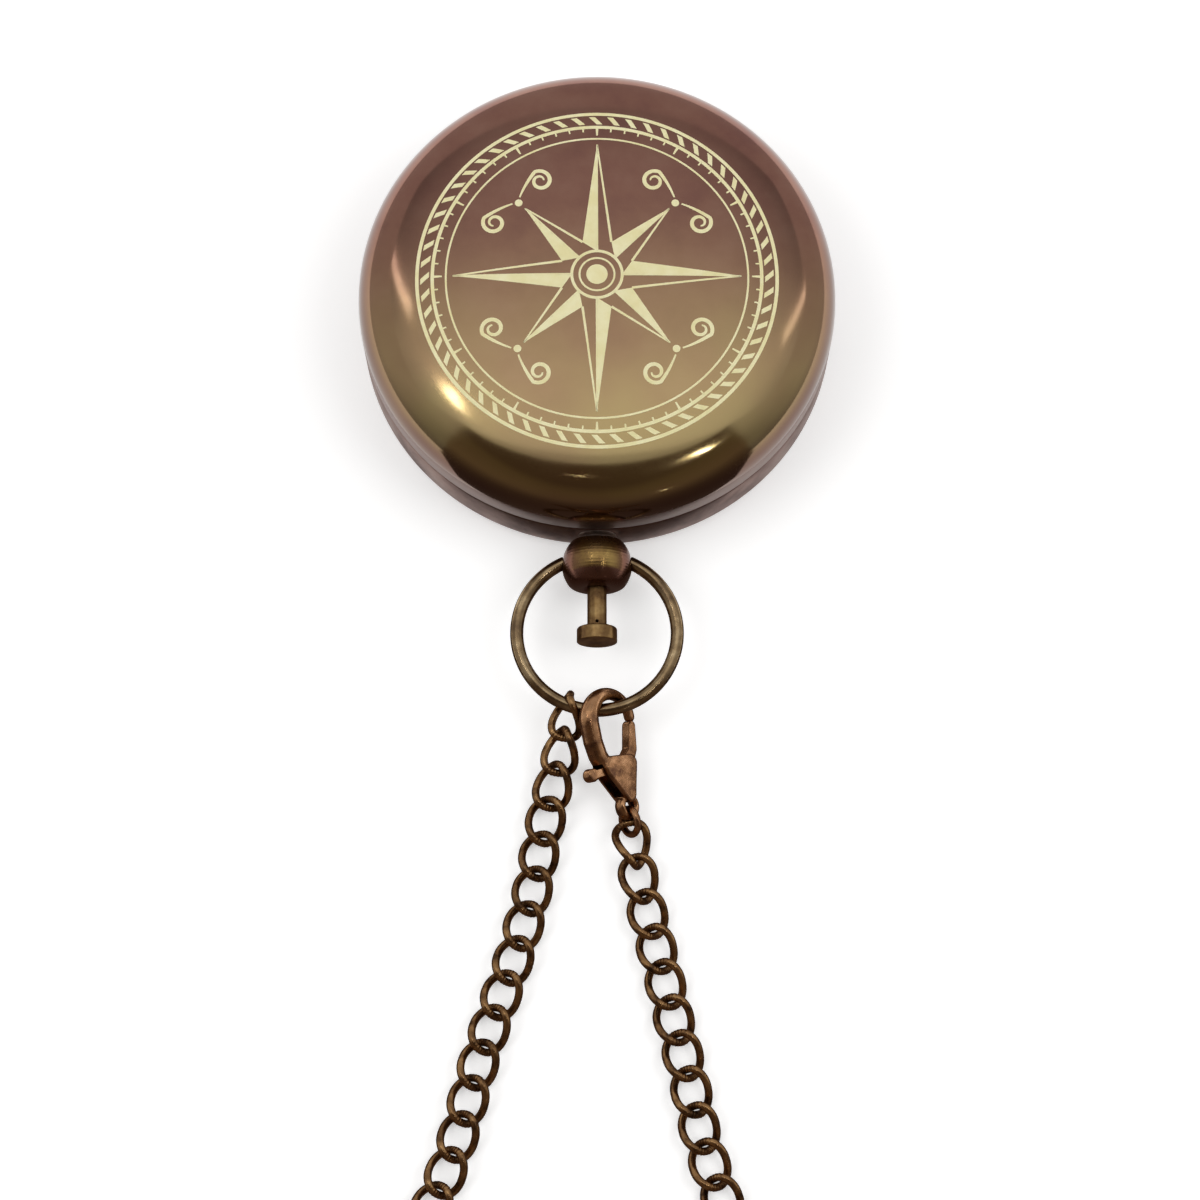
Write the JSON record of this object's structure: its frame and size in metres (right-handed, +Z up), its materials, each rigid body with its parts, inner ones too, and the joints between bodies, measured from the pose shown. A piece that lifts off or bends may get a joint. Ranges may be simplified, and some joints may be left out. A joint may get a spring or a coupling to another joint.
{
  "type": "pocket compass",
  "caption": "Round hunter-case pocket compass lying shut on its back, with a hinged domed lid, a push-button release, a wire bow, a lobster clasp and a curb chain laid in front.",
  "frame": {"origin": "centre of the case's flat back, on the surface that it rests on", "axes": "+Z up through the lid, -Y along the pendant towards the bow and the chain, +X to the right in the picture"},
  "size_m": [0.0598, 0.1635, 0.015],
  "materials": {
    "case": "antique bronze plate over brass, polished, mottled and darkened at the edges",
    "turned": "turned brass with a brown patina and fine lathe lines",
    "bow": "drawn wire in antique bronze plate, rubbed bright along its top",
    "clasp": "cast brass in coppery antique plate",
    "chain": "aged bronze-brown wire with grip marks and gold-brown wear",
    "steel": "plain spring steel",
    "card": "printed cream card",
    "crystal": "clear flat crystal"
  },
  "bodies": {
    "case": {"case_cup": "case", "pendant_neck": "turned", "pendant_ball": "turned", "case_knuckles": "case", "hinge_pin": "turned", "catch_spring": "steel", "catch_spring_screw": "steel", "lift_spring": "steel", "lift_spring_screw": "steel", "capsule_cup": "turned", "dial_plate": "card", "pivot_post": "steel", "crystal": "crystal", "bezel_ring": "turned"},
    "lid": {"lid_shell": "case", "lid_knuckle": "case", "lid_catch": "case"},
    "button": {"push_stem": "turned", "stem_circlip": "steel", "push_button": "turned"},
    "needle": {"needle": "steel", "needle_cap": "turned"},
    "bow": {"bow": "bow"},
    "strands": {"clasp_body": "clasp", "clasp_rivet": "clasp", "clasp_spring": "steel", "clasp_ring": "clasp", "chain_left": "chain", "chain_right": "chain"},
    "lever": {"clasp_lever": "clasp"},
    "fold": {"chain_fold": "chain"}
  },
  "joints": [
    {"name": "lid_hinge", "type": "hinge", "parent": "case", "child": "lid", "pos_m": [0, 0.0252, 0.0068], "axis": [-1, 0, 0], "range_deg": [0, 100], "deforming": ["catch_spring"]},
    {"name": "button_press", "type": "slide", "parent": "case", "child": "button", "axis": [0, 1, 0], "range_m": [0, 0.0012], "stiffness_N_per_m": 600, "deforming": ["catch_spring"]},
    {"name": "needle_spin", "type": "hinge", "parent": "case", "child": "needle", "pos_m": [0, 0, 0.0047], "axis": [0, 0, 1], "continuous": true},
    {"name": "bow_swing", "type": "hinge", "parent": "case", "child": "bow", "pos_m": [0, -0.0279, 0.0047], "axis": [-1, 0, 0], "range_deg": [0, 90]},
    {"name": "strand_swing", "type": "hinge", "parent": "bow", "child": "strands", "pos_m": [0, -0.04357, 0.0047], "axis": [-1, 0, 0], "range_deg": [-106.65, 0], "deforming": ["chain_left"]},
    {"name": "fold_swing", "type": "hinge", "parent": "strands", "child": "fold", "pos_m": [0, -0.0946, 0.00115], "axis": [-1, 0, 0], "range_deg": [0, 16.65]},
    {"name": "clasp_gate", "type": "hinge", "parent": "strands", "child": "lever", "pos_m": [0.00281, -0.04881, 0.00268], "axis": [0.7291, -0.0534, 0.6824], "range_deg": [0, 22], "stiffness_Nm_per_rad": 0.002, "deforming": ["clasp_spring"]}
  ],
  "couplings": [
    {"joint": "strand_swing", "follows": "bow_swing", "ratio": -1.185},
    {"joint": "fold_swing", "follows": "bow_swing", "ratio": 0.185}
  ]
}
